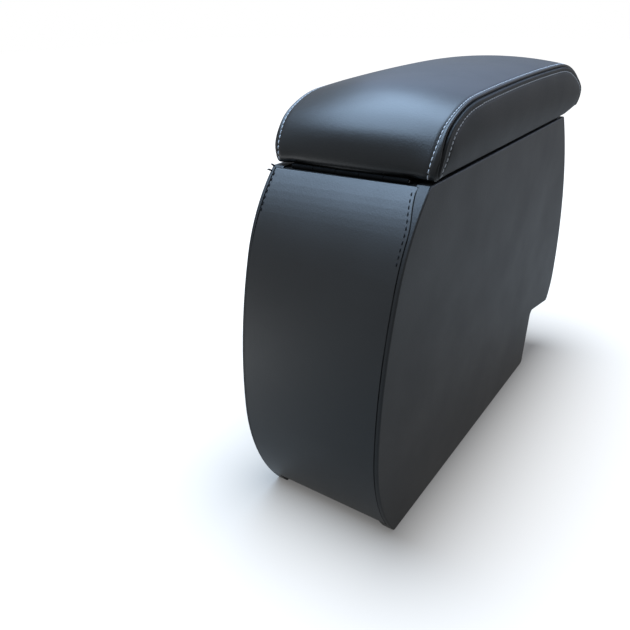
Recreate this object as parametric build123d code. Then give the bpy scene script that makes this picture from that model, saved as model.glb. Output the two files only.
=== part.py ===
from build123d import *
import os
from math import cos, radians, sin

# Car centre armrest: a leatherette-covered board box with a padded lid hinged at its rear end.
# Millimetres. X runs across the car, +Y to its front and Z up. The origin lies on the floor,
# midway between the box's rear and front bulges.

# Box, measured outside its covers
LENGTH = 451.5
HEIGHT = 293.5
TOP_WIDTH = 135.0
BOTTOM_WIDTH = 125.5

# Rear end of the side outline: setbacks are ahead of the rear bulge, rises are above the floor
# and drops are below the rim
REAR_BULGE_RISE = 103.0
REAR_FOOT_SETBACK = 35.2
REAR_SHOULDER_SETBACK = 20.2
REAR_SHOULDER_DROP = 61.5
REAR_RIM_SETBACK = 59.5

# Front end of the side outline: setbacks are behind the front bulge
FRONT_BULGE_RISE = 92.0
FRONT_RIM_SETBACK = 71.3
CHIN_SETBACK = 12.3
CHIN_RISE = 56.5
STEP_SETBACK = 80.0
STEP_RISE = 69.5
TOE_SETBACK = 85.5
CHIN_RADIUS = 6.0
STEP_RADIUS = 6.0
TOE_RADIUS = 4.0
FOOT_RADIUS = 3.0

# Sheet and board thicknesses
COVER = 1.5
SIDE_BOARD = 9.0
END_BOARD = 6.0
FLOOR_BOARD = 6.0
LINING = 1.5

# Panels
REAR_PANEL_LIFT = 13.0
REAR_PANEL_DROP = 1.2
REAR_SEAM_TOP_INSET = 9.0
REAR_SEAM_LOW_INSET = 3.0
REAR_SEAM_BEND_DROP = 103.5
FRONT_SEAM_INSET = 6.0
FLOOR_RISE = 75.0
CLEAT_SIZE = 12.0
CLEAT_FRONT_GAP = 8.0
FRONT_PANEL_LIFT = 58.0
RAIL_DEPTH = 30.0
RAIL_HEIGHT = 20.0
LINING_REVEAL = 1.5
END_TAIL = 40.0

# Lid: runs are ahead of its rear seam, rises are above its underside
LID_GAP = 2.7
LID_SETBACK = 5.5
NOSE_OVERHANG = 46.5
LID_CROWN = 7.0
LIP_RUN = 6.7
LIP_RISE = 6.0
LIP_LEAN = 0.5
VISOR_SLOPE = 90.0
VISOR_RUN = 19.0
VISOR_RISE = 36.5
VISOR_TOP_SLOPE = 27.0
BROW_RUN = 60.0
BROW_RISE = 47.2
TOP_RISE = 50.0
NOSE_RUN = 95.0
NOSE_RISE = 27.0
NOSE_SETBACK = 8.0
NOSE_SLOPE = -25.0
TIP_RISE = 5.0
TIP_SWELL = 0.5
UNDERCUT_RUN = 47.0

# Lid board, lining panel and hems
LID_BOARD = 9.0
LID_BOARD_MARGIN = 8.0
SIDE_HEM = 18.0
REAR_HEM = 44.0
NOSE_HEM = 68.0
LID_PANEL = 3.0
LID_PANEL_MARGIN = 2.5
BUMPER_RADIUS = 4.0
BUMPER_CLEARANCE = 0.3
BUMPER_SETBACK = 20.0

# Hinge
HINGE_LENGTH = 100.0
HINGE_INSET = 2.0
KNUCKLE_COUNT = 5
KNUCKLE_RADIUS = 1.9
KNUCKLE_GAP = 0.4
PIN_RADIUS = 1.0
PIN_CLEARANCE = 0.05
LEAF = 1.0
LEAF_REACH = 25.0
LEAF_RELIEF = 0.6
SCREW_REACH = 19.0
SCREW_COUNT = 4
SCREW_MARGIN = 12.0
SCREW_RADIUS = 1.4
SCREW_HEAD_RADIUS = 2.8
SCREW_HEAD = 1.0
SCREW_LENGTH = 9.0

REAR = -LENGTH / 2
FRONT = LENGTH / 2
REAR_RIM = REAR + REAR_RIM_SETBACK
FRONT_RIM = FRONT - FRONT_RIM_SETBACK
WALL = COVER + SIDE_BOARD
END_WALL = COVER + END_BOARD
FLOOR_TOP = FLOOR_RISE + FLOOR_BOARD
LID_REAR = REAR_RIM + LID_SETBACK
LID_NOSE = FRONT_RIM + NOSE_OVERHANG
LID_WIDTH = TOP_WIDTH
LID_BASE = HEIGHT + LID_GAP
REAR_TOP = HEIGHT - REAR_PANEL_DROP
HINGE_Y = REAR_RIM + HINGE_INSET
HINGE_Z = (REAR_TOP + LID_BASE) / 2
SCREW_Y = HINGE_Y + SCREW_REACH
LEAF_END = HINGE_Y + LEAF_REACH
RAIL_FRONT = REAR_RIM + RAIL_DEPTH
SPAN = 2 * (LENGTH + HEIGHT)


def half_width(z):
    return (BOTTOM_WIDTH + (TOP_WIDTH - BOTTOM_WIDTH) * z / HEIGHT) / 2


def zone(y_low, y_high, z_low, z_high):
    """A block right across the box, to keep one stretch of a wider solid."""
    middle = Pos(0, (y_low + y_high) / 2, (z_low + z_high) / 2)
    return middle * Box(SPAN, y_high - y_low, z_high - z_low)


def across(sketch):
    return extrude(Plane.YZ * sketch, amount=TOP_WIDTH, both=True)


def prism(corners):
    """A solid along the box with the given X and Z corners."""
    return extrude(Plane.XZ * make_face(Polyline(*corners, close=True)), amount=LENGTH, both=True)


def core(inset):
    """The space between two faces that lie inset from the leaning sides."""
    low = half_width(0) - inset
    high = half_width(HEIGHT) - inset
    return prism([(-low, 0), (low, 0), (high, HEIGHT), (-high, HEIGHT)])


def rear_strip_space():
    """The space between the rear seams, which run down and out towards the corners."""
    bend = HEIGHT - REAR_SEAM_BEND_DROP
    foot = (half_width(0) - REAR_SEAM_LOW_INSET, 0)
    turn = (half_width(bend) - REAR_SEAM_LOW_INSET, bend)
    rim = (half_width(HEIGHT) - REAR_SEAM_TOP_INSET, HEIGHT)
    left = [(-x, z) for x, z in (rim, turn, foot)]
    return prism([foot, turn, rim, *left])


def side_slab(side, outer, inner):
    """The layer of one leaning side between two depths; side is -1 on the left, 1 on the right."""
    low = half_width(0)
    high = half_width(HEIGHT)
    corners = [(low - inner, 0), (low - outer, 0), (high - outer, HEIGHT), (high - inner, HEIGHT)]
    return prism([(side * x, z) for x, z in corners])


def rear_arcs():
    """The rear edge of the side view, from the bulge down to the foot and up to the rim."""
    bulge = (REAR, REAR_BULGE_RISE)
    foot = (REAR + REAR_FOOT_SETBACK, 0)
    shoulder = (REAR + REAR_SHOULDER_SETBACK, HEIGHT - REAR_SHOULDER_DROP)
    low = TangentArc(bulge, foot, tangent=(0, -1))
    middle = TangentArc(bulge, shoulder, tangent=(0, 1))
    high = TangentArc(shoulder, (REAR_RIM, HEIGHT), tangent=middle % 1)
    return [low, middle, high]


def front_arcs():
    """The front edge of the side view, from the bulge down to the chin and up to the rim."""
    bulge = (FRONT, FRONT_BULGE_RISE)
    chin = (FRONT - CHIN_SETBACK, CHIN_RISE)
    low = TangentArc(bulge, chin, tangent=(0, -1))
    high = TangentArc(bulge, (FRONT_RIM, HEIGHT), tangent=(0, 1))
    return [low, high]


def box_outline():
    """The side view of the box: two bowed ends, a level rim and a step under the front."""
    foot = (REAR + REAR_FOOT_SETBACK, 0)
    chin = (FRONT - CHIN_SETBACK, CHIN_RISE)
    step = (FRONT - STEP_SETBACK, STEP_RISE)
    toe = (FRONT - TOE_SETBACK, 0)
    rim = Line((REAR_RIM, HEIGHT), (FRONT_RIM, HEIGHT))
    underside = Polyline(chin, step, toe, foot)
    outline = make_face([*rear_arcs(), rim, *front_arcs(), underside])
    corners = [(chin, CHIN_RADIUS), (step, STEP_RADIUS), (toe, TOE_RADIUS), (foot, FOOT_RADIUS)]
    for point, radius in corners:
        outline = fillet(outline.vertices().sort_by_distance(point)[0], radius)
    return outline


def end_layer(arcs, depth):
    """A layer of the given depth behind one bowed end, run past the rim and the floor."""
    low_tip = arcs[0] @ 1 + arcs[0] % 1 * END_TAIL
    high_tip = arcs[-1] @ 1 + arcs[-1] % 1 * END_TAIL
    back = Polyline(high_tip, (0, high_tip.Y), (0, low_tip.Y), low_tip)
    face = make_face([Line(low_tip, arcs[0] @ 1), *arcs, Line(arcs[-1] @ 1, high_tip), back])
    return across(face - offset(face, amount=-depth, kind=Kind.INTERSECTION))


def swell(run, rise, slope, amount):
    """A point of the lid's outline, moved out along its own normal."""
    turn = radians(slope)
    return (LID_REAR + run - amount * sin(turn), LID_BASE + rise + amount * cos(turn))


def lid_section(x, bulge, inset):
    """The lid's side view in a plane across X, swollen by bulge and drawn in by inset."""
    grow = bulge - inset
    base = LID_BASE + inset
    length = LID_NOSE - LID_REAR
    lip_in = (LID_REAR + LIP_RUN - grow, base)
    lip_out = (LID_REAR + LIP_LEAN - grow, LID_BASE + LIP_RISE)
    visor_top = swell(VISOR_RUN, VISOR_RISE, VISOR_TOP_SLOPE, grow)
    brow_top = swell(BROW_RUN, BROW_RISE, 0, grow)
    nose_start = swell(length - NOSE_RUN, TOP_RISE, 0, grow)
    nose_end = swell(length - NOSE_SETBACK, NOSE_RISE, NOSE_SLOPE, grow)
    tip_end = (LID_NOSE - NOSE_SETBACK + TIP_SWELL * grow, base + TIP_RISE)
    undercut = (LID_NOSE - UNDERCUT_RUN, base)
    visor_heading = (cos(radians(VISOR_SLOPE)), sin(radians(VISOR_SLOPE)))
    lip = TangentArc(lip_in, lip_out, tangent=(-1, 0))
    visor = TangentArc(lip_out, visor_top, tangent=visor_heading)
    brow = TangentArc(visor_top, brow_top, tangent=visor % 1)
    top = TangentArc(brow_top, nose_start, tangent=brow % 1)
    nose = TangentArc(nose_start, nose_end, tangent=top % 1)
    tip = TangentArc(nose_end, tip_end, tangent=nose % 1)
    bottom = Polyline(tip_end, undercut, lip_in)
    return Plane.YZ.offset(x) * make_face([lip, visor, brow, top, nose, tip, bottom])


def lid_form(inset):
    """The padded lid as one loft: an outline at each seam and a fuller one at mid-width."""
    edge = LID_WIDTH / 2 - inset
    sections = [lid_section(x, bulge, inset) for x, bulge in ((-edge, 0), (0, LID_CROWN), (edge, 0))]
    return loft(sections)


def screw(x, z, up):
    """A countersunk wood screw with its head's face at z, pointing down, or up where up is 1."""
    shank = Cylinder(SCREW_RADIUS, SCREW_LENGTH, align=(Align.CENTER, Align.CENTER, Align.MAX))
    head = Cone(SCREW_RADIUS, SCREW_HEAD_RADIUS, SCREW_HEAD, align=(Align.CENTER, Align.CENTER, Align.MAX))
    turn = Rot(180, 0, 0) if up else Rot(0, 0, 0)
    return Pos(x, SCREW_Y, z) * turn * (shank + head)


def leaf(z_low, first):
    """A hinge leaf with every second knuckle, starting at the given knuckle."""
    pitch = HINGE_LENGTH / KNUCKLE_COUNT
    plate = Pos(0, (HINGE_Y + LEAF_END) / 2, z_low + LEAF / 2) * Box(HINGE_LENGTH, LEAF_REACH, LEAF)
    knuckle = Pos(0, HINGE_Y, HINGE_Z) * Rot(0, 90, 0) * Cylinder(KNUCKLE_RADIUS, pitch - KNUCKLE_GAP)
    relief = 2 * (KNUCKLE_RADIUS + LEAF_RELIEF)
    slot = Pos(0, HINGE_Y, HINGE_Z) * Box(pitch + KNUCKLE_GAP, relief, relief)
    shape = plate
    for index in range(KNUCKLE_COUNT):
        place = Pos((index + 0.5) * pitch - HINGE_LENGTH / 2, 0, 0)
        shape = shape - place * slot if (index + first) % 2 else shape + place * knuckle
    bore = Pos(0, HINGE_Y, HINGE_Z) * Rot(0, 90, 0) * Cylinder(PIN_RADIUS + PIN_CLEARANCE, HINGE_LENGTH)
    return shape - bore


os.makedirs("parts", exist_ok=True)
nodes = {}

# Boards of the box
outline = box_outline()
whole = across(outline)
board_blank = across(offset(outline, amount=-COVER))
for side, name in ((-1, "left"), (1, "right")):
    nodes[name + "_side_board"] = board_blank & side_slab(side, COVER, WALL)
side_boards = nodes["left_side_board"] + nodes["right_side_board"]

rear_zone = zone(REAR - COVER, REAR / 2, REAR_PANEL_LIFT, REAR_TOP)
rear_wall = end_layer(rear_arcs(), END_WALL) & rear_zone
rear_inner = rear_wall - end_layer(rear_arcs(), COVER)
rear_board = rear_inner & zone(REAR, REAR / 2, REAR_PANEL_LIFT + COVER, REAR_TOP - COVER)
nodes["rear_board"] = rear_board & core(WALL)

front_zone = zone(FRONT / 2, FRONT + COVER, FRONT_PANEL_LIFT, HEIGHT)
front_wall = end_layer(front_arcs(), END_WALL) & front_zone
front_inner = front_wall - end_layer(front_arcs(), COVER)
front_board = front_inner & zone(FRONT / 2, FRONT, FRONT_PANEL_LIFT + COVER, HEIGHT - COVER)
nodes["front_board"] = front_board & core(WALL)

# Leatherette of the box, turned over every edge of the boards
nodes["rear_cover"] = (rear_wall & rear_strip_space()) - nodes["rear_board"] - side_boards
nodes["front_cover"] = (front_wall & core(FRONT_SEAM_INSET)) - nodes["front_board"] - side_boards
end_covers = nodes["rear_cover"] + nodes["front_cover"]
for side, name in ((-1, "left"), (1, "right")):
    skin = whole & side_slab(side, 0, WALL)
    nodes[name + "_side_cover"] = skin - side_boards - end_covers

# Floor, cleats and hinge rail between the sides
hollow = (whole & core(WALL)) - rear_wall - front_wall
nodes["floor_board"] = hollow & zone(REAR, FRONT, FLOOR_RISE, FLOOR_TOP)
cleat_front = FRONT - TOE_SETBACK - CLEAT_FRONT_GAP
cleat_zone = zone(REAR, cleat_front, FLOOR_RISE - CLEAT_SIZE, FLOOR_RISE)
for side, name in ((-1, "left"), (1, "right")):
    nodes[name + "_floor_cleat"] = hollow & cleat_zone & side_slab(side, WALL, WALL + CLEAT_SIZE)
rail_base = REAR_TOP - RAIL_HEIGHT
rail = hollow & zone(REAR, RAIL_FRONT, rail_base, REAR_TOP)

# Felt lining of the storage space
above_floor = hollow & zone(REAR, FRONT, FLOOR_TOP, HEIGHT)
bin_space = above_floor - zone(REAR, RAIL_FRONT, rail_base, HEIGHT)
nodes["floor_lining"] = bin_space & zone(REAR, FRONT, FLOOR_TOP, FLOOR_TOP + LINING)
lined = bin_space & zone(REAR, FRONT, FLOOR_TOP + LINING, HEIGHT - LINING_REVEAL)
for side, name in ((-1, "left"), (1, "right")):
    nodes[name + "_lining"] = lined & side_slab(side, WALL, WALL + LINING)
between = lined & core(WALL + LINING)
lined_depth = END_WALL + LINING
nodes["rear_lining"] = between & end_layer(rear_arcs(), lined_depth) & zone(REAR, REAR / 2, 0, HEIGHT)
nodes["front_lining"] = between & end_layer(front_arcs(), lined_depth) & zone(FRONT / 2, FRONT, 0, HEIGHT)

# Lid: board, foam, covers and lining panel
lid_outer = lid_form(0)
lid_inner = lid_form(COVER)
lid_length = LID_NOSE - LID_REAR
lid_middle = (LID_REAR + LID_NOSE) / 2
bare_middle = (LID_REAR + REAR_HEM + LID_NOSE - NOSE_HEM) / 2
bare_length = lid_length - REAR_HEM - NOSE_HEM
board_place = Pos(0, lid_middle, LID_BASE + COVER + LID_BOARD / 2)
board_inset = 2 * LID_BOARD_MARGIN
lid_board = lid_inner & board_place * Box(LID_WIDTH - board_inset, lid_length - board_inset, LID_BOARD)
nodes["lid_foam"] = lid_inner - lid_board
underside = Pos(0, bare_middle, LID_BASE)
bare_depth = 2 * COVER
skin = lid_outer - lid_inner - underside * Box(LID_WIDTH - 2 * SIDE_HEM, bare_length, bare_depth)
seam_block = Pos(0, lid_middle, HEIGHT) * Box(LID_WIDTH - 2 * COVER, SPAN, SPAN)
strip = (skin & seam_block) - underside * Box(LID_WIDTH, bare_length, bare_depth)
for side, name in ((-1, "left"), (1, "right")):
    half = Pos(side * SPAN / 2, 0, HEIGHT) * Box(SPAN, SPAN, SPAN)
    nodes["lid_" + name + "_gusset"] = (skin - strip) & half
panel_length = FRONT_RIM - RAIL_FRONT - 2 * (END_WALL + LINING + LID_PANEL_MARGIN)
panel_width = TOP_WIDTH - 2 * (WALL + LINING + LID_PANEL_MARGIN)
panel_place = Pos(0, (RAIL_FRONT + FRONT_RIM) / 2, LID_BASE - LID_PANEL / 2)
nodes["lid_lining_panel"] = panel_place * Box(panel_width, panel_length, LID_PANEL)
bumper_height = LID_GAP - BUMPER_CLEARANCE
bumper = Cylinder(BUMPER_RADIUS, bumper_height, align=(Align.CENTER, Align.CENTER, Align.MAX))
bumper_x = TOP_WIDTH / 2 - WALL / 2
bumpers = [Pos(side * bumper_x, FRONT_RIM - BUMPER_SETBACK, LID_BASE) * bumper for side in (-1, 1)]
nodes["lid_bumpers"] = Compound(children=bumpers)

# Hinge, its pin and its screws
step = (HINGE_LENGTH - 2 * SCREW_MARGIN) / (SCREW_COUNT - 1)
screw_xs = [SCREW_MARGIN - HINGE_LENGTH / 2 + index * step for index in range(SCREW_COUNT)]
body_screws = [screw(x, REAR_TOP + LEAF, 0) for x in screw_xs]
lid_screws = [screw(x, LID_BASE - LEAF, 1) for x in screw_xs]
nodes["hinge_body_leaf"] = leaf(REAR_TOP, 0) - body_screws
nodes["hinge_lid_leaf"] = leaf(LID_BASE - LEAF, 1) - lid_screws
nodes["hinge_pin"] = Pos(0, HINGE_Y, HINGE_Z) * Rot(0, 90, 0) * Cylinder(PIN_RADIUS, HINGE_LENGTH)
nodes["hinge_rail"] = rail - body_screws
nodes["lid_board"] = lid_board - lid_screws
nodes["lid_top_cover"] = strip - lid_screws
nodes["body_hinge_screws"] = Compound(children=body_screws)
nodes["lid_hinge_screws"] = Compound(children=lid_screws)

for node, shape in nodes.items():
    export_step(shape, os.path.join("parts", node + ".step"))
    print(node, round(shape.volume, 1))
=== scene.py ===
import math
import bmesh
import bpy
from mathutils import Matrix, Vector
from mathutils.bvhtree import BVHTree
from mathutils.kdtree import KDTree


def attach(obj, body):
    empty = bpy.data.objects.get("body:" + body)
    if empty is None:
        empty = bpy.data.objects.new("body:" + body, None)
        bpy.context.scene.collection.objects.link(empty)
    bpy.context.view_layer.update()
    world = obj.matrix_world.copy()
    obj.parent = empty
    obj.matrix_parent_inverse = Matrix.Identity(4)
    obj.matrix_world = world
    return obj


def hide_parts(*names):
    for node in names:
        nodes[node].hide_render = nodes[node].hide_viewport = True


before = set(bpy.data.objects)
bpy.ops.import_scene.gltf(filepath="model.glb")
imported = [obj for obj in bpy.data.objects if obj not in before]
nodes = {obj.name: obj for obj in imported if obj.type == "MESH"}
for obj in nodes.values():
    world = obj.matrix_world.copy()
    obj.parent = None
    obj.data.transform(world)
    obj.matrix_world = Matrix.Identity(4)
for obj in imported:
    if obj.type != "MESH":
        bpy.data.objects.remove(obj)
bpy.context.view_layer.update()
print("frame loaded:", len(nodes), "nodes")

# shared by several pieces: angles in degrees, and how close points count as one, in metres
angles = {"flat": 0.4, "sharp": 35, "square": 60, "smooth": 40, "smoothPad": 60}
close = {"node": 0.00002, "sheets": 0.00005, "thin": 0.00002, "line": 0.0001}


def clamp(value):
    return min(1.0, max(0.0, value))


def bell(gap, width):  # 1 at no gap, next to nothing at two widths
    return math.exp(-((gap / width) ** 2))


def clearSelection():
    if bpy.context.mode != "OBJECT":
        bpy.ops.object.mode_set(mode="OBJECT")
    bpy.ops.object.select_all(action="DESELECT")


def pick(piece):
    clearSelection()
    piece.select_set(True)
    bpy.context.view_layer.objects.active = piece
    return piece


def joinPieces(pieces, name):
    pick(pieces[0])
    for piece in pieces[1:]:
        piece.select_set(True)
    bpy.ops.object.join()
    pieces[0].name = name
    return pieces[0]


def finishWith(piece, kind, **settings):
    pick(piece)
    modifier = piece.modifiers.new(kind.title(), kind)
    for key, value in settings.items():
        setattr(modifier, key, value)
    bpy.ops.object.modifier_apply(modifier=modifier.name)


def smoothShade(piece, degrees):
    pick(piece)
    bpy.ops.object.shade_smooth_by_angle(angle=math.radians(degrees))


def copyOfNode(node, name):  # the copy's loose triangles are merged and its flat faces made whole
    piece = nodes[node].copy()
    piece.data = nodes[node].data.copy()
    piece.parent = None
    for key in list(piece.keys()):
        del piece[key]
    bpy.context.scene.collection.objects.link(piece)
    piece.name = name
    piece.data.materials.clear()
    pick(piece)
    bpy.ops.object.mode_set(mode="EDIT")
    bpy.ops.mesh.select_all(action="SELECT")
    bpy.ops.mesh.remove_doubles(threshold=close["node"])
    bpy.ops.mesh.customdata_custom_splitnormals_clear()
    bpy.ops.mesh.dissolve_limited(angle_limit=math.radians(angles["flat"]))
    bpy.ops.object.mode_set(mode="OBJECT")
    return piece


def selectEdges(piece, wanted):  # leaves the piece in edit mode
    pick(piece)
    bpy.ops.object.mode_set(mode="EDIT")
    bpy.ops.mesh.select_mode(type="EDGE")
    bpy.ops.mesh.select_all(action="DESELECT")
    mesh = bmesh.from_edit_mesh(piece.data)
    chosen = [edge for edge in mesh.edges if len(edge.link_faces) == 2 and wanted(edge)]
    for edge in chosen:
        edge.select_set(True)
    bmesh.update_edit_mesh(piece.data)
    return len(chosen)


def roundEdges(piece, wanted, radius, segments):
    if selectEdges(piece, wanted):
        bpy.ops.mesh.bevel(
            offset=radius, segments=segments, profile=0.5, affect="EDGES", clamp_overlap=True)
    bpy.ops.object.mode_set(mode="OBJECT")


def sharp(edge):
    return edge.calc_face_angle(0) > math.radians(angles["sharp"])


def square(edge):
    return edge.calc_face_angle(0) > math.radians(angles["square"])


# colours are written as sRGB hex and turned to linear here
def colour(text):
    parts = [int(text[index:index + 2], 16) / 255 for index in (1, 3, 5)]
    return [part / 12.92 if part <= 0.04045 else ((part + 0.055) / 1.055) ** 2.4 for part in parts] + [1.0]


# one node with its settings, values and links
def addNode(tree, kind, inputs=None, **settings):
    node = tree.nodes.new(kind)
    for key, value in settings.items():
        setattr(node, key, value)
    for key, value in (inputs or {}).items():
        if isinstance(value, bpy.types.NodeSocket):
            tree.links.new(value, node.inputs[key])
        else:
            node.inputs[key].default_value = value
    return node


def newMaterial(name, **values):
    material = bpy.data.materials.new(name)
    material.use_nodes = True
    tree = material.node_tree
    shader = tree.nodes["Principled BSDF"]
    for key, value in values.items():
        shader.inputs[key.replace("_", " ")].default_value = value
    spot = addNode(tree, "ShaderNodeTexCoord").outputs["Object"]
    return material, tree, shader, spot


def giveMaterial(piece, material):
    piece.data.materials.clear()
    piece.data.materials.append(material)
    for face in piece.data.polygons:
        face.material_index = 0


# pattern sizes and relief depths of the materials are in metres
noiseLow, noiseHigh = 0.3, 0.7   # most of a noise lies between these

# PU leatherette: an embossed, semi-matt skin, so the eye gets a broad soft sheen and a fine pebble
leather = {
    "deep": "#121211", "light": "#181817",
    "pebble": 0.0012, "scatter": 0.9,   # real grain is 0.8 to 1.2 mm
    "pore": 0.0003, "poreShare": 0.25,
    "drift": 0.07, "driftRough": 0.55,  # slow change of shade over the sheet
    "relief": 0.00012,
}


def makeLeatherette(name, roughLow, roughHigh, grain, lacquerAndPaintedSheen):
    material, tree, shader, spot = newMaterial(name, IOR=1.5, Specular_IOR_Level=lacquerAndPaintedSheen)
    pebble = addNode(
        tree, "ShaderNodeTexVoronoi",
        {"Vector": spot, "Scale": 1 / leather["pebble"], "Randomness": leather["scatter"]},
        feature="SMOOTH_F1")
    pore = addNode(tree, "ShaderNodeTexNoise", {"Vector": spot, "Scale": 1 / leather["pore"], "Detail": 2.0})
    drift = addNode(
        tree, "ShaderNodeTexNoise",
        {"Vector": spot, "Scale": 1 / leather["drift"], "Detail": 3.0, "Roughness": leather["driftRough"]})
    shade = addNode(
        tree, "ShaderNodeMix",
        {"Factor": drift.outputs["Fac"], "A": colour(leather["deep"]), "B": colour(leather["light"])},
        data_type="RGBA")
    tree.links.new(shade.outputs["Result"], shader.inputs["Base Color"])
    gloss = addNode(tree, "ShaderNodeMapRange", {
        "Value": drift.outputs["Fac"], "From Min": noiseLow, "From Max": noiseHigh,
        "To Min": roughLow, "To Max": roughHigh})
    tree.links.new(gloss.outputs["Result"], shader.inputs["Roughness"])
    height = addNode(
        tree, "ShaderNodeMath",
        {0: pore.outputs["Fac"], 1: leather["poreShare"], 2: pebble.outputs["Distance"]},
        operation="MULTIPLY_ADD")
    bump = addNode(
        tree, "ShaderNodeBump",
        {"Height": height.outputs["Value"], "Strength": grain, "Distance": leather["relief"]})
    tree.links.new(bump.outputs["Normal"], shader.inputs["Normal"])
    return material


# one leatherette in four copies: the gusset's gets less and the rear panel's more specular level than the
# rest, painted shade and painted sheen that make them render darker and shinier
lidLeather = makeLeatherette("leatherette_on_foam", roughLow=0.33, roughHigh=0.38, grain=0.4, lacquerAndPaintedSheen=0.55)
gussetLeather = makeLeatherette("leatherette_gusset", roughLow=0.42, roughHigh=0.5, grain=0.6, lacquerAndPaintedSheen=0.3)
boxLeather = makeLeatherette("leatherette_on_board", roughLow=0.42, roughHigh=0.5, grain=0.6, lacquerAndPaintedSheen=0.6)
rearLeather = makeLeatherette(
    "leatherette_stretched", roughLow=0.38, roughHigh=0.45, grain=0.35, lacquerAndPaintedSheen=0.78)

# polyester sewing thread, twisted: small fibres catch the light along its length
thread = {"fibre": 0.0004, "relief": 0.0001}


def makeThread(name, dark, pale, sheen, shine):
    material, tree, shader, spot = newMaterial(
        name, IOR=1.55, Roughness=0.6, Sheen_Weight=sheen, Specular_IOR_Level=shine)
    fibre = addNode(tree, "ShaderNodeTexNoise", {"Vector": spot, "Scale": 1 / thread["fibre"], "Detail": 2.0})
    shade = addNode(
        tree, "ShaderNodeMix",
        {"Factor": fibre.outputs["Fac"], "A": colour(dark), "B": colour(pale)}, data_type="RGBA")
    tree.links.new(shade.outputs["Result"], shader.inputs["Base Color"])
    bump = addNode(
        tree, "ShaderNodeBump",
        {"Height": fibre.outputs["Fac"], "Strength": 0.5, "Distance": thread["relief"]})
    tree.links.new(bump.outputs["Normal"], shader.inputs["Normal"])
    return material


greyThread = makeThread("polyester_thread_grey", "#b2b6bb", "#dfe2e5", sheen=0.25, shine=0.5)
blackThread = makeThread("polyester_thread_black", "#0d0d0f", "#1b1b1e", sheen=0.02, shine=0.15)

# needle felt: pressed fibres, no gloss at all, a little paler at grazing angles
felt = {
    "fibre": 0.0009, "clump": 0.012, "deep": "#131315", "light": "#3a3b3e", "nap": 0.0005,
    "edge": 0.0006, "edgeSteps": 2,
}
feltBlack, tree, shader, spot = newMaterial(
    "needle_felt_black", IOR=1.45, Roughness=0.95, Sheen_Weight=0.35, Sheen_Roughness=0.6)
fibre = addNode(
    tree, "ShaderNodeTexNoise",
    {"Vector": spot, "Scale": 1 / felt["fibre"], "Detail": 5.0, "Roughness": 0.7})
clump = addNode(tree, "ShaderNodeTexNoise", {"Vector": spot, "Scale": 1 / felt["clump"], "Detail": 3.0})
fleck = addNode(
    tree, "ShaderNodeMath", {0: fibre.outputs["Fac"], 1: clump.outputs["Fac"]}, operation="MULTIPLY")
shade = addNode(
    tree, "ShaderNodeMix",
    {"Factor": fleck.outputs["Value"], "A": colour(felt["deep"]), "B": colour(felt["light"])},
    data_type="RGBA")
tree.links.new(shade.outputs["Result"], shader.inputs["Base Color"])
bump = addNode(
    tree, "ShaderNodeBump", {"Height": fibre.outputs["Fac"], "Strength": 0.8, "Distance": felt["nap"]})
tree.links.new(bump.outputs["Normal"], shader.inputs["Normal"])

# rotary-cut poplar plywood and sawn softwood: long grain along the box, open pores, pale or stained black;
# the black stain is also painted shade, so wood in the seam and hinge gaps reads as shadow
wood = {
    "stretch": (1.0, 0.07, 1.0), "wander": 0.02, "wanderShare": 0.6,
    "low": 0.55, "high": 1.05, "pore": 0.0003,
}


def makeWood(name, pale, dark, ringWidth, rough):
    material, tree, shader, spot = newMaterial(name, IOR=1.5, Roughness=rough)
    along = addNode(tree, "ShaderNodeMapping", {"Vector": spot, "Scale": wood["stretch"]})
    wander = addNode(
        tree, "ShaderNodeTexNoise",
        {"Vector": along.outputs["Vector"], "Scale": 1 / wood["wander"], "Detail": 4.0})
    rings = addNode(
        tree, "ShaderNodeTexNoise",
        {"Vector": along.outputs["Vector"], "Scale": 1 / ringWidth, "Detail": 6.0, "Roughness": 0.65})
    mixed = addNode(
        tree, "ShaderNodeMath",
        {0: wander.outputs["Fac"], 1: wood["wanderShare"], 2: rings.outputs["Fac"]}, operation="MULTIPLY_ADD")
    spread = addNode(
        tree, "ShaderNodeMapRange",
        {"Value": mixed.outputs["Value"], "From Min": wood["low"], "From Max": wood["high"]})
    shade = addNode(
        tree, "ShaderNodeMix",
        {"Factor": spread.outputs["Result"], "A": colour(dark), "B": colour(pale)}, data_type="RGBA")
    tree.links.new(shade.outputs["Result"], shader.inputs["Base Color"])
    bump = addNode(
        tree, "ShaderNodeBump", {"Height": rings.outputs["Fac"], "Strength": 0.4, "Distance": wood["pore"]})
    tree.links.new(bump.outputs["Normal"], shader.inputs["Normal"])
    return material


plywood = makeWood("poplar_plywood", "#cdb48a", "#a07f52", ringWidth=0.004, rough=0.65)
softwood = makeWood("sawn_spruce", "#d8bd8c", "#b08a55", ringWidth=0.006, rough=0.7)
# black stain and painted shade: the boards and hinge rail are darkened so that wood showing in the gaps reads
# as shadow
stainedWoodGapShade = makeWood("black_stained_spruce_gap_shade", "#1d1b1a", "#0e0d0d", ringWidth=0.006, rough=0.75)
stainedPlyGapShade = makeWood("black_stained_plywood_gap_shade", "#1d1b1a", "#0e0d0d", ringWidth=0.004, rough=0.75)

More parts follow.
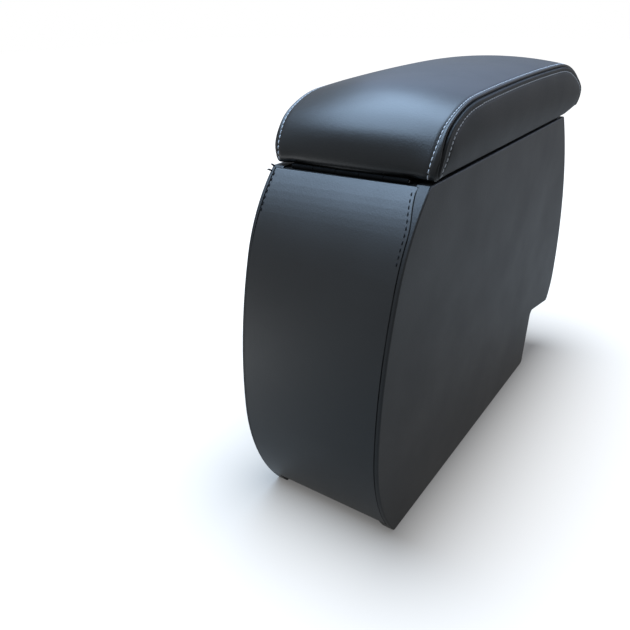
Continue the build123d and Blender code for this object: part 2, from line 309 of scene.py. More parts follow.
# black phosphated strip steel, a dull crystalline film, made near pure black with next to no gloss as painted
# shade, so the hinge in the gap under the visor reads as its shadow; rubbed a little paler in spots
steel = {"peel": 0.0015, "rub": 0.008, "deep": "#030303", "light": "#080808", "relief": 0.0001}
blackSteelGapShade, tree, shader, spot = newMaterial("black_phosphated_steel_gap_shade", IOR=1.5, Specular_IOR_Level=0.1)
peel = addNode(tree, "ShaderNodeTexNoise", {"Vector": spot, "Scale": 1 / steel["peel"], "Detail": 2.0})
rub = addNode(
    tree, "ShaderNodeTexNoise", {"Vector": spot, "Scale": 1 / steel["rub"], "Detail": 6.0, "Roughness": 0.7})
shade = addNode(
    tree, "ShaderNodeMix",
    {"Factor": rub.outputs["Fac"], "A": colour(steel["deep"]), "B": colour(steel["light"])}, data_type="RGBA")
tree.links.new(shade.outputs["Result"], shader.inputs["Base Color"])
gloss = addNode(tree, "ShaderNodeMapRange", {
    "Value": rub.outputs["Fac"], "From Min": noiseLow, "From Max": noiseHigh, "To Min": 0.7, "To Max": 0.85})
tree.links.new(gloss.outputs["Result"], shader.inputs["Roughness"])
bump = addNode(
    tree, "ShaderNodeBump", {"Height": peel.outputs["Fac"], "Strength": 0.2, "Distance": steel["relief"]})
tree.links.new(bump.outputs["Normal"], shader.inputs["Normal"])

# zinc-plated pin and screws: bright grey with a cloudy passivated film
zinc = {"cloud": 0.003, "deep": "#a9aaa6", "light": "#cfd0cc"}
zincSteel, tree, shader, spot = newMaterial("zinc_plated_steel", Metallic=1.0)
cloud = addNode(tree, "ShaderNodeTexNoise", {"Vector": spot, "Scale": 1 / zinc["cloud"], "Detail": 5.0})
shade = addNode(
    tree, "ShaderNodeMix",
    {"Factor": cloud.outputs["Fac"], "A": colour(zinc["deep"]), "B": colour(zinc["light"])}, data_type="RGBA")
tree.links.new(shade.outputs["Result"], shader.inputs["Base Color"])
gloss = addNode(tree, "ShaderNodeMapRange", {
    "Value": cloud.outputs["Fac"], "From Min": noiseLow, "From Max": noiseHigh,
    "To Min": 0.25, "To Max": 0.42})
tree.links.new(gloss.outputs["Result"], shader.inputs["Roughness"])

# moulded black rubber: dull, with a faint bloom
rubber = {"bloom": 0.004, "deep": "#141415", "light": "#242425"}
bumperRubber, tree, shader, spot = newMaterial("moulded_rubber", IOR=1.52)
bloom = addNode(tree, "ShaderNodeTexNoise", {"Vector": spot, "Scale": 1 / rubber["bloom"], "Detail": 4.0})
shade = addNode(
    tree, "ShaderNodeMix",
    {"Factor": bloom.outputs["Fac"], "A": colour(rubber["deep"]), "B": colour(rubber["light"])},
    data_type="RGBA")
tree.links.new(shade.outputs["Result"], shader.inputs["Base Color"])
gloss = addNode(tree, "ShaderNodeMapRange", {
    "Value": bloom.outputs["Fac"], "From Min": noiseLow, "From Max": noiseHigh,
    "To Min": 0.7, "To Max": 0.85})
tree.links.new(gloss.outputs["Result"], shader.inputs["Roughness"])
print("materials made:", len(bpy.data.materials))

# nodes whose CAD shape is right keep it and take a finish
for node, finish in {
    "left_side_board": stainedPlyGapShade, "right_side_board": stainedPlyGapShade, "rear_board": stainedPlyGapShade,
    "front_board": stainedPlyGapShade, "floor_board": plywood, "lid_board": plywood,
    "left_floor_cleat": softwood, "right_floor_cleat": softwood, "hinge_rail": stainedWoodGapShade,
    "hinge_body_leaf": blackSteelGapShade, "hinge_lid_leaf": blackSteelGapShade, "hinge_pin": zincSteel,
    "body_hinge_screws": zincSteel, "lid_hinge_screws": zincSteel, "lid_bumpers": bumperRubber,
}.items():
    giveMaterial(nodes[node], finish)

# the lid's sewn cover, in metres: runs are ahead of its rear seam, rises above its underside
lid = {
    "half": 0.0675, "rear": -0.16075, "nose": 0.20095, "base": 0.2962,
    "crown": 0.0056,                 # the foam swells it to about 7 mm
    "flare": 0.0026,                 # each seam stands this far outside the lid's foot
    "climb": 0.022,                  # and does so from this far up
    "fullness": 0.0030,              # how far each gusset is cut to stand out before the foam swells it
    "roll": 0.004, "rollTurn": 62.0, "rollSteps": 5,   # the strip rolls over to its seam
    "flatSteps": 18, "sideRows": 12,
    "sideBunch": 1.4, "sideEnds": 12, "sideRound": 0.6,   # how a gusset's rows bunch, end and round out
    "steps": (5, 7, 6, 32, 15, 6),   # lip, visor, brow, top, nose, tip
    "lipRun": 0.0067, "lipRise": 0.006, "lipLean": 0.0005, "visorSlope": 90.0,
    "visorRun": 0.019, "visorRise": 0.0365, "visorTopSlope": 27.0,
    "browRun": 0.060, "browRise": 0.0478, "topRise": 0.052,
    "noseRun": 0.095, "noseRise": 0.027, "noseSetback": 0.008, "noseSlope": -25.0,
    "tipRise": 0.005, "undercutRun": 0.047,
    "fill": 0.85,
}


def arcPoints(start, heading, end, steps):  # a round bend that leaves start along heading and ends at end
    run, rise = end[0] - start[0], end[1] - start[1]
    reach = math.hypot(run, rise)
    turn = (math.atan2(rise, run) - heading + math.pi) % (2 * math.pi) - math.pi
    points = []
    for step in range(1, steps + 1):
        share = step / steps
        straight = abs(turn) < 1e-5
        length = reach * share if straight else reach * math.sin(turn * share) / math.sin(turn)
        bearing = heading + turn * share
        points.append((start[0] + length * math.cos(bearing), start[1] + length * math.sin(bearing)))
    return points, heading + 2 * turn


def swell(run, rise, slope, amount):
    turn = math.radians(slope)
    return (lid["rear"] + run - amount * math.sin(turn), lid["base"] + rise + amount * math.cos(turn))


def lidOutline(grow):  # the side view from the lip, over the visor and top, to the tip
    length = lid["nose"] - lid["rear"]
    points = [(lid["rear"] + lid["lipRun"] - grow, lid["base"])]
    heading = math.pi
    corners = [
        (lid["rear"] + lid["lipLean"] - grow, lid["base"] + lid["lipRise"]),
        swell(lid["visorRun"], lid["visorRise"], lid["visorTopSlope"], grow),
        swell(lid["browRun"], lid["browRise"], 0, grow),
        swell(length - lid["noseRun"], lid["topRise"], 0, grow),
        swell(length - lid["noseSetback"], lid["noseRise"], lid["noseSlope"], grow),
        (lid["nose"] - lid["noseSetback"] + grow / 2, lid["base"] + lid["tipRise"]),
    ]
    for index, corner in enumerate(corners):
        if index == 1:
            heading = math.radians(lid["visorSlope"])
        bend, heading = arcPoints(points[-1], heading, corner, lid["steps"][index])
        points += bend
    return points


def underZ(y, tip):  # the underside rises a little under the nose
    start = lid["nose"] - lid["undercutRun"]
    return lid["base"] + lid["tipRise"] * max(0.0, y - start) / (tip - start)


def gridSheet(name, columns, rows, place):  # a flat sheet, laid where place puts each of its points
    clearSelection()
    bpy.ops.mesh.primitive_grid_add(x_subdivisions=columns, y_subdivisions=rows, size=2, location=(0, 0, 0))
    sheet = bpy.context.object
    sheet.name = name
    for vert in sheet.data.vertices:
        vert.co = place(round((vert.co.x + 1) / 2 * columns), round((vert.co.y + 1) / 2 * rows))
    return sheet


rowCount = sum(lid["steps"])
flatHalf = lid["half"] - lid["roll"]
rolled = [math.radians(lid["rollTurn"]) * step / lid["rollSteps"] for step in range(1, lid["rollSteps"] + 1)]
flatX = [flatHalf * (2 * step / lid["flatSteps"] - 1) for step in range(lid["flatSteps"] + 1)]
rollX = [flatHalf + lid["roll"] * math.sin(turn) for turn in rolled]
rollDrop = [lid["roll"] * (1 - math.cos(turn)) for turn in rolled]
acrossX = [-x for x in reversed(rollX)] + flatX + rollX
drops = rollDrop[::-1] + [0.0] * len(flatX) + rollDrop
columnCount = len(acrossX) - 1
crowns = [lid["crown"] * (1 - (x / lid["half"]) ** 2) for x in acrossX]
outlines = [lidOutline(crown) for crown in crowns]
rolledOutlines = [lidOutline(crown - drop) for crown, drop in zip(crowns, drops)]
seamLine = outlines[0]
walked = [0.0]
for first, second in zip(seamLine, seamLine[1:]):
    walked.append(walked[-1] + math.dist(first, second))
shares = [step / walked[-1] for step in walked]


def climb(z):  # 0 at the lid's foot, 1 where the flare is full
    return math.sin(clamp((z - lid["base"]) / lid["climb"]) * math.pi / 2)


def flared(x, z):  # the padded lid is wider than its foot
    return x * (1 + lid["flare"] / lid["half"] * climb(z))


def topPlace(column, row):
    first, second = outlines[column][row], rolledOutlines[column][row]
    share = climb(first[1])
    y, z = (first[axis] + (second[axis] - first[axis]) * share for axis in (0, 1))
    return (flared(acrossX[column], z), y, z)


def underPlace(column, row):
    line = outlines[column]
    y = line[0][0] + (line[-1][0] - line[0][0]) * shares[row]
    return (acrossX[column], y, underZ(y, line[-1][0]))


def sidePlace(edge):
    def place(column, row):
        high, low = Vector(topPlace(edge, row)), Vector(underPlace(edge, row))
        share = (column / lid["sideRows"]) ** lid["sideBunch"]
        ends = min(1.0, lid["sideEnds"] * min(shares[row], 1 - shares[row]))
        spot = high.lerp(low, share)
        full = lid["fullness"] * ends * math.sin(math.pi * share) ** lid["sideRound"]
        return Vector((math.copysign(abs(flared(low.x, spot.z)) + full, high.x), spot.y, spot.z))
    return place


sheets = [
    gridSheet("strip", columnCount, rowCount, topPlace),
    gridSheet("under", columnCount, rowCount, underPlace),
    gridSheet("leftGusset", lid["sideRows"], rowCount, sidePlace(0)),
    gridSheet("rightGusset", lid["sideRows"], rowCount, sidePlace(-1)),
]
for sheet, finish in zip(sheets, (lidLeather, lidLeather, gussetLeather, gussetLeather)):
    giveMaterial(sheet, finish)
lidPad = joinPieces(sheets, "lidPad")
pick(lidPad)
bpy.ops.object.mode_set(mode="EDIT")
bpy.ops.mesh.select_all(action="SELECT")
bpy.ops.mesh.remove_doubles(threshold=close["sheets"])
bpy.ops.mesh.dissolve_degenerate(threshold=close["thin"])
bpy.ops.mesh.normals_make_consistent(inside=False)
bpy.ops.object.mode_set(mode="OBJECT")


def treeOf(points):
    tree = KDTree(len(points))
    for index, point in enumerate(points):
        tree.insert(point, index)
    tree.balance()
    return tree


rows, columns = range(rowCount + 1), range(columnCount + 1)
seamTree = treeOf([Vector(topPlace(edge, row)) for edge in (0, columnCount) for row in rows])
underTree = treeOf([Vector(underPlace(column, row)) for column in columns for row in rows])
pins = [
    vert.index for vert in lidPad.data.vertices
    if min(seamTree.find(vert.co)[2], underTree.find(vert.co)[2]) < close["line"]
]
lidPad.vertex_groups.new(name="pins").add(pins, 1.0, "REPLACE")
print("lid cover sewn:", len(lidPad.data.vertices), "points")

# the foam pushes the cover out between its seams
swelling = {
    "quality": 6, "mass": 0.25, "tension": 10, "compression": 10, "shear": 4, "bending": 0.5,
    "pressure": 5.0, "frames": 20,
    "cap": 0.0018,       # the most it swells
    "ironing": 12,       # passes that smooth stray wrinkles out of the swelling
    "quickReach": 0.015,
}
before = [vert.co.copy() for vert in lidPad.data.vertices]
pick(lidPad)
cloth = lidPad.modifiers.new("Cloth", "CLOTH")
cloth.settings.quality = swelling["quality"]
cloth.settings.mass = swelling["mass"]
cloth.settings.tension_stiffness = swelling["tension"]
cloth.settings.compression_stiffness = swelling["compression"]
cloth.settings.shear_stiffness = swelling["shear"]
cloth.settings.bending_stiffness = swelling["bending"]
cloth.settings.use_pressure = True
cloth.settings.uniform_pressure_force = swelling["pressure"]
cloth.settings.effector_weights.gravity = 0
cloth.settings.vertex_group_mass = "pins"
cloth.point_cache.frame_start = 1
cloth.point_cache.frame_end = swelling["frames"]
for number in range(1, swelling["frames"] + 1):
    bpy.context.scene.frame_set(number)
bpy.ops.object.modifier_apply(modifier=cloth.name)
bpy.context.scene.frame_set(1)
moves = [vert.co - old for vert, old in zip(lidPad.data.vertices, before)]
furthest = max(move.length for move in moves)
beside = [[index] for index in range(len(moves))]
for edge in lidPad.data.edges:
    first, second = edge.vertices
    beside[first].append(second)
    beside[second].append(first)
held = set(pins)
for turn in range(swelling["ironing"]):
    moves = [
        move if index in held else sum((moves[other] for other in around), Vector()) / len(around)
        for index, (move, around) in enumerate(zip(moves, beside))
    ]
for vert, old, move in zip(lidPad.data.vertices, before, moves):
    length = max(move.length, 1e-9)
    soft = math.tanh(length / swelling["cap"])   # the cap comes on softly
    vert.co = old + move * swelling["cap"] * soft / length
print("foam swelled the cover by up to", round(furthest * 1000, 2), "mm before the cap")

# the gussets' lower edges are rounded over
lowEdge = {"rise": 0.0055, "inset": 0.001, "radius": 0.004, "segments": 4}


def onLowEdge(edge):
    high, out = lid["base"] + lowEdge["rise"], lid["half"] - lowEdge["inset"]
    return sharp(edge) and all(vert.co.z < high and abs(vert.co.x) > out for vert in edge.verts)


roundEdges(lidPad, onLowEdge, lowEdge["radius"], lowEdge["segments"])
finishWith(lidPad, "SUBSURF", levels=2, render_levels=2)

# the visor bellies out low down, its lip droops, its corners are pulled and it leaves room to swing
visor = {
    "start": 0.03, "fade": 0.02,     # the belly begins this far ahead of the rear seam and comes on over this
    "belly": 0.003, "bellyMiddle": 0.2, "bellyRise": 0.006, "bellyReach": 0.012,   # most at the visor's ends
    "cornerPull": ((0.002, -0.004, -0.0018), (0.0, -0.0045, -0.0014)), "cornerReach": 0.02, "cornerFall": 3,
    "droop": 0.0018, "droopBehind": 0.004, "droopReach": 0.014, "droopRise": 0.02, "droopRun": 0.006,
    "roomY": -0.1653, "roomZ": 0.2982, "roomSlope": 0.75, "roomBlend": 0.0008,   # left to the rear panel
    "roomReach": 0.008, "roomRise": 0.03,
}
corners = [Vector((side * lid["half"], lid["rear"] + lid["lipLean"], lid["base"])) for side in (-1, 1)]
for vert in lidPad.data.vertices:
    rearward = clamp((lid["rear"] + visor["start"] - vert.co.y) / visor["fade"])
    low = bell(vert.co.z - lid["base"] - visor["bellyRise"], visor["bellyReach"])
    belly = visor["belly"] * rearward * low
    pulls = [
        math.exp(-visor["cornerFall"] * ((vert.co - corner).length / visor["cornerReach"]) ** 2)
        for corner in corners
    ]
    for pull, offset in zip(pulls, visor["cornerPull"]):
        vert.co += Vector(offset) * pull
    across = visor["bellyMiddle"] + (1 - visor["bellyMiddle"]) * min(1.0, vert.co.x / lid["half"]) ** 2
    vert.co.y -= belly * across * (1 - max(pulls))
    lipShare = max(0.0, 1 - abs(vert.co.y - lid["rear"] + visor["droopBehind"]) / visor["droopReach"])
    lipShare *= max(0.0, 1 - (vert.co.z - lid["base"]) / visor["droopRise"])
    if vert.co.y < lid["rear"] + visor["droopRun"]:
        vert.co.z -= visor["droop"] * lipShare * (1 - (vert.co.x / lid["half"]) ** 2)
    room = visor["roomY"] - visor["roomSlope"] * max(0.0, vert.co.z - visor["roomZ"])
    if vert.co.y < room + visor["roomReach"] and vert.co.z < lid["base"] + visor["roomRise"]:
        blend = visor["roomBlend"]
        vert.co.y = room + blend * math.log1p(math.exp((vert.co.y - room) / blend))


def surfaceOf(piece):
    points = [vert.co for vert in piece.data.vertices]
    return BVHTree.FromPolygons(points, [face.vertices for face in piece.data.polygons])


# the seam is drawn in along its whole line, its two lips stand up beside it, each thread row presses a groove
seam = {
    "depth": 0.0018, "width": 0.0009, "steps": 16, "fade": 0.003,
    "lipHeight": 0.0006, "lipOff": 0.0019, "lipWidth": 0.0012,
    "dimple": 0.0005, "dimpleWidth": 0.001, "rowSteps": 8,
}
stitch = {
    "pitch": 0.0039, "length": 0.0033, "width": 0.0009, "height": 0.0008, "dip": 0.0003, "lift": 0.25,
    "off": (0.004, 0.0044), "visorMore": (0.0012, 0.0026),   # strip and gusset row, further off on the visor
    "visorTop": 0.042, "visorFade": 0.02, "visorRun": 0.06,
    "across": 0.86, "down": 0.5, "out": 0.002, "evening": 4, "runOn": 0.006,
    "heart": (0.02, 0.31),   # a place inside the lid, which tells inward from outward
}
padSurface = surfaceOf(lidPad)
fineSeam = []
for edge in (0, columnCount):
    for row in range(rowCount):
        first, second = Vector(topPlace(edge, row)), Vector(topPlace(edge, row + 1))
        for step in range(seam["steps"]):
            fineSeam.append(padSurface.find_nearest(first.lerp(second, step / seam["steps"]))[0])
fineTree = treeOf(fineSeam)

# a row of stitches runs along each side of the seam, evened out and run on down to the lip
stitchLines = {}
firstRow, lastRow = lid["steps"][0], rowCount - 2
for edge, name in ((0, "leftLidStitches"), (columnCount, "rightLidStitches")):
    topLine, sideLine = [], []
    for row in range(firstRow, lastRow + 1):
        here = Vector(topPlace(edge, row))
        along = (Vector(topPlace(edge, row + 1)) - Vector(topPlace(edge, row - 1))).normalized()
        inward = Vector((1, 0, 0)).cross(along).normalized()
        if inward.dot(Vector((here.x, *stitch["heart"])) - here) < 0:
            inward.negate()
        onVisor = 0.0
        if here.y < lid["rear"] + stitch["visorRun"]:
            onVisor = clamp((lid["base"] + stitch["visorTop"] - here.z) / stitch["visorFade"])
        topOff, sideOff = (off + more * onVisor for off, more in zip(stitch["off"], stitch["visorMore"]))
        aside = Vector((math.copysign(topOff * stitch["across"], here.x), 0, 0))
        topLine.append(here - aside - inward * topOff * stitch["down"])
        sideLine.append(here + inward * sideOff + Vector((math.copysign(stitch["out"], here.x), 0, 0)))
    for line in (topLine, sideLine):
        for turn in range(stitch["evening"]):
            threes = zip(line, line[1:], line[2:])
            line[1:-1] = [(first + second * 2 + third) / 4 for first, second, third in threes]
        line.insert(0, line[0] + (line[0] - line[1]).normalized() * stitch["runOn"])
    stitchLines[name] = [topLine, sideLine]
rowTree = treeOf([
    padSurface.find_nearest(first.lerp(second, step / seam["rowSteps"]))[0]
    for lines in stitchLines.values() for line in lines
    for first, second in zip(line, line[1:]) for step in range(seam["rowSteps"])
])
normals = [vert.normal.copy() for vert in lidPad.data.vertices]
for vert, normal in zip(lidPad.data.vertices, normals):
    gap = fineTree.find(vert.co)[2]
    move = -seam["depth"] * bell(gap, seam["width"])
    move += seam["lipHeight"] * bell(gap - seam["lipOff"], seam["lipWidth"])
    move -= seam["dimple"] * bell(rowTree.find(vert.co)[2], seam["dimpleWidth"])
    vert.co += normal * move * clamp((vert.co.z - lid["base"]) / seam["fade"])
smoothShade(lidPad, angles["smoothPad"])
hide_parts("lid_top_cover", "lid_left_gusset", "lid_right_gusset", "lid_foam")
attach(lidPad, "lid")
print("lid pad:", len(lidPad.data.polygons), "faces")

# one stitch is a bead of thread
bead = {"segments": 8, "rings": 6}


def makeStitch(length, width, height, dip):  # longest along X, its ends drawn into the cover
    clearSelection()
    bpy.ops.mesh.primitive_uv_sphere_add(
        segments=bead["segments"], ring_count=bead["rings"], radius=0.5, location=(0, 0, 0))
    one = bpy.context.object
    one.data.transform(Matrix.Rotation(math.pi / 2, 4, "Y"))
    one.data.transform(Matrix.Diagonal((length, width, height, 1)))
    for vert in one.data.vertices:
        vert.co.z -= dip * (2 * vert.co.x / length) ** 2
    for face in one.data.polygons:
        face.use_smooth = True
    return one


def evenly(points, pitch):  # evenly spaced places along a line of points, each with its heading
    places, left = [], pitch / 2
    for first, second in zip(points, points[1:]):
        span = (second - first).length
        while left <= span:
            places.append((first.lerp(second, left / span), (second - first).normalized()))
            left += pitch
        left -= span
    return places


def sewRow(name, lines, surface, size, finish, body):
    one = makeStitch(size["length"], size["width"], size["height"], size["dip"])
    copies = []
    for line in lines:
        for place, heading in evenly(line, size["pitch"]):
            spot, normal = surface.find_nearest(place)[:2]
            side = normal.cross(heading).normalized()
            turn = Matrix((side.cross(normal), side, normal)).transposed().to_4x4()
            copy = one.copy()
            copy.data = one.data.copy()
            copy.data.transform(Matrix.Translation(spot + normal * size["height"] * size["lift"]) @ turn)
            bpy.context.scene.collection.objects.link(copy)
            copies.append(copy)
    bpy.data.objects.remove(one)
    row = joinPieces(copies, name)
    giveMaterial(row, finish)
    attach(row, body)
    print(name, len(copies), "stitches")
    return row


padSurface = surfaceOf(lidPad)
for name, lines in stitchLines.items():
    sewRow(name, lines, padSurface, stitch, greyThread, "lid")

# box covers: the leatherette is drawn over the board's edges, so every edge is soft
boxCover = {
    "bottomHalf": 0.06275, "topHalf": 0.0675, "height": 0.2935, "faceSlack": 0.0002,
    "edge": 0.0026, "edgeSteps": 4, "roll": 0.002, "rollSteps": 4,
    "hem": 0.0009, "sideHemSteps": 2, "endHemSteps": 3,
    "rimZ": 0.2918, "rimY": -0.1655, "footZ": 0.0135, "footY": -0.1925,   # tell the rear strip's outer ends
}


def halfWidth(z):
    return boxCover["bottomHalf"] + (boxCover["topHalf"] - boxCover["bottomHalf"]) * z / boxCover["height"]


def onOuterEdge(edge):
    faceSlack = boxCover["faceSlack"]
    return sharp(edge) and all(abs(vert.co.x) > halfWidth(vert.co.z) - faceSlack for vert in edge.verts)


# the left rear seam keeps to its corner, the right one starts further in at the rim and runs out below it
rearSeam = {
    "rimInset": 0.009, "lowInset": 0.003, "bend": 0.19, "runOut": 0.03,
    "fold": 0.0016, "slack": 0.0006, "rear": -0.1,
    "cuts": (0.288, 0.283, 0.278, 0.273, 0.268, 0.263), "facing": 0.5, "smallFace": 0.002,
    "gap": 0.001, "tuck": 0.0003, "edgeSlack": 0.0003, "leftShut": 0.235, "leftFade": 0.03,
}


def insetAt(share):
    return rearSeam["lowInset"] + (rearSeam["rimInset"] - rearSeam["lowInset"]) * share


def solidInset(z):
    return insetAt(max(0.0, (z - rearSeam["bend"]) / (boxCover["height"] - rearSeam["bend"])))


def sewnInset(z, side):
    share = clamp((boxCover["height"] - z) / rearSeam["runOut"]) if side > 0 else 1.0
    return insetAt(0.5 + 0.5 * math.cos(math.pi * share))


def sewRearSeam(cover):
    pick(cover)
    bpy.ops.object.mode_set(mode="EDIT")
    bpy.ops.mesh.select_mode(type="FACE")
    for height in rearSeam["cuts"]:
        bpy.ops.mesh.select_all(action="DESELECT")
        mesh = bmesh.from_edit_mesh(cover.data)
        for face in mesh.faces:
            small = face.calc_area() < rearSeam["smallFace"]
            atRear = face.calc_center_median().y < rearSeam["rear"]
            face.select_set(abs(face.normal.y) > rearSeam["facing"] or small and atRear)
        bmesh.update_edit_mesh(cover.data)
        bpy.ops.mesh.bisect(plane_co=(0, 0, height), plane_no=(0, 0, 1))
    bpy.ops.object.mode_set(mode="OBJECT")
    fold = rearSeam["fold"]
    for vert in cover.data.vertices:   # what lies between the corner's fold and the seam moves with the seam
        x, z = vert.co.x, vert.co.z
        inset = halfWidth(z) - abs(x)
        high = vert.co.y < rearSeam["rear"] and z > rearSeam["bend"]
        if high and fold < inset < solidInset(z) + rearSeam["slack"]:
            share = (inset - fold) / (solidInset(z) - fold)
            vert.co.x = math.copysign(halfWidth(z) - fold - (sewnInset(z, x) - fold) * share, x)


def openSeam(cover):  # the rear strip's outer edge stands back from the seam, which shows as a dark line
    outer = [vert.normal.y < 0 for vert in cover.data.vertices]
    for vert, outside in zip(cover.data.vertices, outer):
        x, z = vert.co.x, vert.co.z
        if halfWidth(z) - abs(x) < sewnInset(z, x) + rearSeam["edgeSlack"]:
            # the left one closes lower down
            share = 1.0 if x > 0 else clamp((z - rearSeam["leftShut"]) / rearSeam["leftFade"])
            vert.co.x += math.copysign(1, x) * (-rearSeam["gap"] * share if outside else rearSeam["tuck"])


def finishCover(cover, node, finish):
    smoothShade(cover, angles["smooth"])
    finishWith(cover, "WEIGHTED_NORMAL", keep_sharp=True)
    giveMaterial(cover, finish)
    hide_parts(node)
    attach(cover, "box")


for node, name in (("left_side_cover", "leftSideCover"), ("right_side_cover", "rightSideCover")):
    cover = copyOfNode(node, name)
    sewRearSeam(cover)
    roundEdges(cover, onOuterEdge, boxCover["edge"], boxCover["edgeSteps"])
    roundEdges(cover, square, boxCover["hem"], boxCover["sideHemSteps"])
    finishCover(cover, node, boxLeather)


def onOuterEnd(edge):  # the outer edges along the rear strip's top and foot
    high = all(vert.co.z > boxCover["rimZ"] and vert.co.y < boxCover["rimY"] for vert in edge.verts)
    return high or all(vert.co.z < boxCover["footZ"] and vert.co.y < boxCover["footY"] for vert in edge.verts)


rearCover = copyOfNode("rear_cover", "rearCover")
sewRearSeam(rearCover)
openSeam(rearCover)
roundEdges(rearCover, onOuterEnd, boxCover["roll"], boxCover["rollSteps"])
roundEdges(rearCover, square, boxCover["hem"], boxCover["endHemSteps"])
finishCover(rearCover, "rear_cover", rearLeather)
frontCover = copyOfNode("front_cover", "frontCover")
roundEdges(frontCover, square, boxCover["hem"], boxCover["endHemSteps"])
finishCover(frontCover, "front_cover", boxLeather)

rearStitch = {
    "pitch": 0.005, "length": 0.0034, "width": 0.001, "height": 0.0008, "dip": 0.0003, "lift": 0.25,
    "off": (0.0016, 0.0033), "top": 0.2898, "foot": (0.262, 0.243), "steps": 40, "outside": -0.5,
}
threadEnds = {
    "roots": ((-0.0655, -0.1668, 0.2925), (-0.0663, -0.1702, 0.29)),
    "leans": ((-0.8, -0.1, 0.55), (-0.95, -0.1, 0.25)),
    "length": 0.0052, "width": 0.0016, "dip": 0.0006, "out": 0.3,
}
rearSurface = surfaceOf(rearCover)
rearNames = ("leftRearStitches", "rightRearStitches")
for side, off, foot, name in zip((-1, 1), rearStitch["off"], rearStitch["foot"], rearNames):
    line = []
    for step in range(rearStitch["steps"] + 1):
        z = rearStitch["top"] + (foot - rearStitch["top"]) * step / rearStitch["steps"]
        start = Vector((side * (halfWidth(z) - sewnInset(z, side) - off), rearStitch["outside"], z))
        line.append(rearSurface.ray_cast(start, Vector((0, 1, 0)))[0])
    rearRow = sewRow(name, [line], rearSurface, rearStitch, blackThread, "box")
    if side < 0:   # two thread ends left long at the left corner
        ends = []
        for root, lean in zip(threadEnds["roots"], threadEnds["leans"]):
            width = threadEnds["width"]
            end = makeStitch(threadEnds["length"], width, width, threadEnds["dip"])
            heading = Vector(lean).normalized()
            turn = heading.to_track_quat("X", "Z").to_matrix().to_4x4()
            middle = Vector(root) + heading * threadEnds["length"] * threadEnds["out"]
            end.data.transform(Matrix.Translation(middle) @ turn)
            giveMaterial(end, blackThread)
            ends.append(end)
        joinPieces([rearRow] + ends, name)
print("box covers made")

# felt lining: cut sheets with soft edges
for node, name, body, slot in (
    ("floor_lining", "floorFelt", "box", "felt"), ("left_lining", "leftFelt", "box", "felt"),
    ("right_lining", "rightFelt", "box", "felt"), ("rear_lining", "rearFelt", "box", "felt"),
    ("front_lining", "frontFelt", "box", "felt"), ("lid_lining_panel", "lidFelt", "lid", "lid_felt"),
):
    lining = copyOfNode(node, name)
    roundEdges(lining, sharp, felt["edge"], felt["edgeSteps"])
    smoothShade(lining, angles["smooth"])
    giveMaterial(lining, feltBlack)
    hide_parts(node)
    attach(lining, body)
print("felt lining made")

# studio: a pale floor that runs out to white, soft daylight from above on the left
ground = {
    "size": 14, "paint": "#8f8a83",
    "footprint": (0.06, 0.19, 0.0),   # half the box's footprint: the floor's glow is dimmed round it, a painted shadow that fades outside it
    "fade": 0.08, "shade": -0.82, "glow": 0.95,
    "dimEnds": (-0.4, -0.15), "paintedDimReflection": (0.02, 0.17),   # painted reflection: a glow only gloss sees, dim behind the box
    "slant": (1.0, -0.75, 0.0), "paleEnds": (0.045, 0.2), "paintedPaleReflection": 1.1,   # and a pale painted reflection to the left there
    "farEnds": (-1.5, -1.0), "nearEnds": (-0.25, -0.5),
}
clearSelection()
bpy.ops.mesh.primitive_plane_add(size=ground["size"], location=(0, 0, 0))
floor = bpy.context.object
floor.name = "floor"
floorPaint, tree, shader, spot = newMaterial("matt_white_floor", Roughness=0.9)
shader.inputs["Base Color"].default_value = colour(ground["paint"])
aside = addNode(tree, "ShaderNodeVectorMath", {0: spot}, operation="ABSOLUTE")
beyond = addNode(
    tree, "ShaderNodeVectorMath", {0: aside.outputs["Vector"], 1: ground["footprint"]}, operation="SUBTRACT")
outside = addNode(
    tree, "ShaderNodeVectorMath", {0: beyond.outputs["Vector"], 1: (0.0, 0.0, 0.0)}, operation="MAXIMUM")
far = addNode(tree, "ShaderNodeVectorMath", {0: outside.outputs["Vector"]}, operation="LENGTH")
paces = addNode(
    tree, "ShaderNodeMath", {0: far.outputs["Value"], 1: -1 / ground["fade"]}, operation="MULTIPLY")
fade = addNode(tree, "ShaderNodeMath", {0: paces.outputs["Value"]}, operation="EXPONENT")
# the glow the camera sees is lowered towards the box: painted shadow, on top of the lamps' own shadow
strength = addNode(
    tree, "ShaderNodeMath",
    {0: fade.outputs["Value"], 1: ground["shade"], 2: ground["glow"]}, operation="MULTIPLY_ADD")


def shownTo(tree):  # 1 for what the camera sees, straight or through glass, and 1 for what gloss shows
    path = addNode(tree, "ShaderNodeLightPath")
    seen = addNode(
        tree, "ShaderNodeMath",
        {0: path.outputs["Is Camera Ray"], 1: path.outputs["Is Transmission Ray"]}, operation="MAXIMUM")
    return seen.outputs["Value"], path.outputs["Is Glossy Ray"]


straight, inGloss = shownTo(tree)
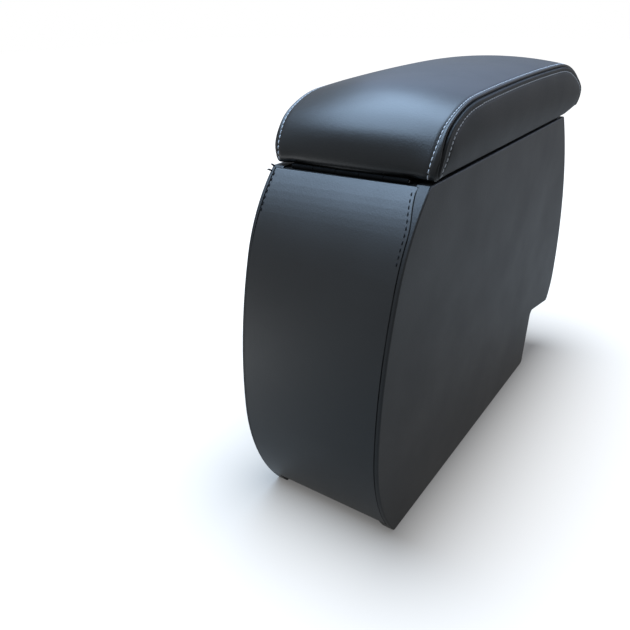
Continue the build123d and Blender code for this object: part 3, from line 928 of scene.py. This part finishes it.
# painted reflection: gloss sees the floor glow, dim behind the box and pale to its left, laid into the
# leather's sheen
axes = addNode(tree, "ShaderNodeSeparateXYZ", {0: spot})
dim = addNode(tree, "ShaderNodeMapRange", {
    "Value": axes.outputs["Y"], "From Min": ground["dimEnds"][0], "From Max": ground["dimEnds"][1],
    "To Min": ground["paintedDimReflection"][0], "To Max": ground["paintedDimReflection"][1]})
sideways = addNode(tree, "ShaderNodeVectorMath", {0: spot, 1: ground["slant"]}, operation="DOT_PRODUCT")
leftward = addNode(tree, "ShaderNodeMapRange", {
    "Value": sideways.outputs["Value"], "From Min": ground["paleEnds"][0], "From Max": ground["paleEnds"][1],
    "To Min": ground["paintedPaleReflection"], "To Max": 0.0})
near = addNode(tree, "ShaderNodeMapRange", {
    "Value": axes.outputs["Y"], "From Min": ground["farEnds"][0], "From Max": ground["farEnds"][1]})
behind = addNode(tree, "ShaderNodeMapRange", {
    "Value": axes.outputs["Y"], "From Min": ground["nearEnds"][0], "From Max": ground["nearEnds"][1]})
band = addNode(
    tree, "ShaderNodeMath", {0: near.outputs["Result"], 1: behind.outputs["Result"]}, operation="MULTIPLY")
paintedPalePatch = addNode(
    tree, "ShaderNodeMath", {0: leftward.outputs["Result"], 1: band.outputs["Value"]}, operation="MULTIPLY")
paintedReflection = addNode(
    tree, "ShaderNodeMath", {0: dim.outputs["Result"], 1: paintedPalePatch.outputs["Value"]}, operation="ADD")
faint = addNode(tree, "ShaderNodeMath", {0: inGloss, 1: paintedReflection.outputs["Value"]}, operation="MULTIPLY")
glowing = addNode(
    tree, "ShaderNodeMath",
    {0: strength.outputs["Value"], 1: straight, 2: faint.outputs["Value"]}, operation="MULTIPLY_ADD")
glow = addNode(
    tree, "ShaderNodeEmission", {"Color": colour("#ffffff"), "Strength": glowing.outputs["Value"]})
chosen = addNode(tree, "ShaderNodeAddShader", {0: shader.outputs["BSDF"], 1: glow.outputs["Emission"]})
tree.links.new(chosen.outputs["Shader"], tree.nodes["Material Output"].inputs["Surface"])
floor.data.materials.append(floorPaint)

# the camera sees a white room, all else a grey sky
surround = {"tint": "#e8eef6", "strength": 0.42, "whiteInGloss": 0.02}
world = bpy.data.worlds.new("studio")
bpy.context.scene.world = world
world.use_nodes = True
tree = world.node_tree
sky = tree.nodes["Background"]
sky.inputs["Color"].default_value = colour(surround["tint"])
sky.inputs["Strength"].default_value = surround["strength"]
white = addNode(tree, "ShaderNodeBackground", {"Color": colour("#ffffff"), "Strength": 1.0})
straight, inGloss = shownTo(tree)
share = addNode(
    tree, "ShaderNodeMath", {0: inGloss, 1: surround["whiteInGloss"], 2: straight}, operation="MULTIPLY_ADD")
choose = addNode(
    tree, "ShaderNodeMixShader",
    {0: share.outputs["Value"], 1: sky.outputs["Background"], 2: white.outputs["Background"]})
tree.links.new(choose.outputs["Shader"], tree.nodes["World Output"].inputs["Surface"])


def addSoftbox(name, place, aim, size, power, tint):
    clearSelection()
    bpy.ops.object.light_add(type="AREA", location=place)
    lamp = bpy.context.object
    lamp.name = name
    lamp.data.shape = "RECTANGLE"
    lamp.data.size, lamp.data.size_y = size
    lamp.data.energy = power
    lamp.data.color = colour(tint)[:3]
    lamp.rotation_euler = (Vector(aim) - Vector(place)).to_track_quat("-Z", "Y").to_euler()


addSoftbox("skylight", (-0.46, -0.04, 1.6), (0, -0.1, 0.33), (1.9, 1.0), power=47, tint="#bcdcff")
addSoftbox("farWindow", (0.1, 1.75, 1.5), (0, 0.0, 0.35), (3.2, 1.3), power=12, tint="#b0ceff")
addSoftbox("sideWindow", (1.5, 1.65, 0.7), (0, 0.0, 0.3), (1.0, 0.7), power=4, tint="#e4ecff")

# the photograph's camera: angles in degrees, focal length and frame in pixels, sensor in millimetres
view = {
    "place": (0.240077, -0.546813, 0.404289), "yaw": 35.522, "pitch": 26.483, "roll": -1.658,
    "focal": 621.109, "frame": 630, "sensor": 36, "clip": 0.01,
}
yaw, pitch, roll = (math.radians(view[key]) for key in ("yaw", "pitch", "roll"))
back = Vector((math.sin(yaw) * math.cos(pitch), -math.cos(yaw) * math.cos(pitch), math.sin(pitch)))
right = (-back).cross(Vector((0, 0, 1))).normalized()
up = right.cross(-back)
cameraX = right * math.cos(roll) + up * math.sin(roll)
cameraY = up * math.cos(roll) - right * math.sin(roll)
clearSelection()
bpy.ops.object.camera_add(location=view["place"])
camera = bpy.context.object
turned = Matrix((cameraX, cameraY, back)).transposed().to_4x4()
camera.matrix_world = Matrix.Translation(view["place"]) @ turned
camera.data.sensor_width = view["sensor"]
camera.data.lens = view["focal"] / view["frame"] * view["sensor"]
camera.data.clip_start = view["clip"]
bpy.context.scene.camera = camera
bpy.context.scene.view_settings.view_transform = "Standard"
clearSelection()
print("studio and camera set")
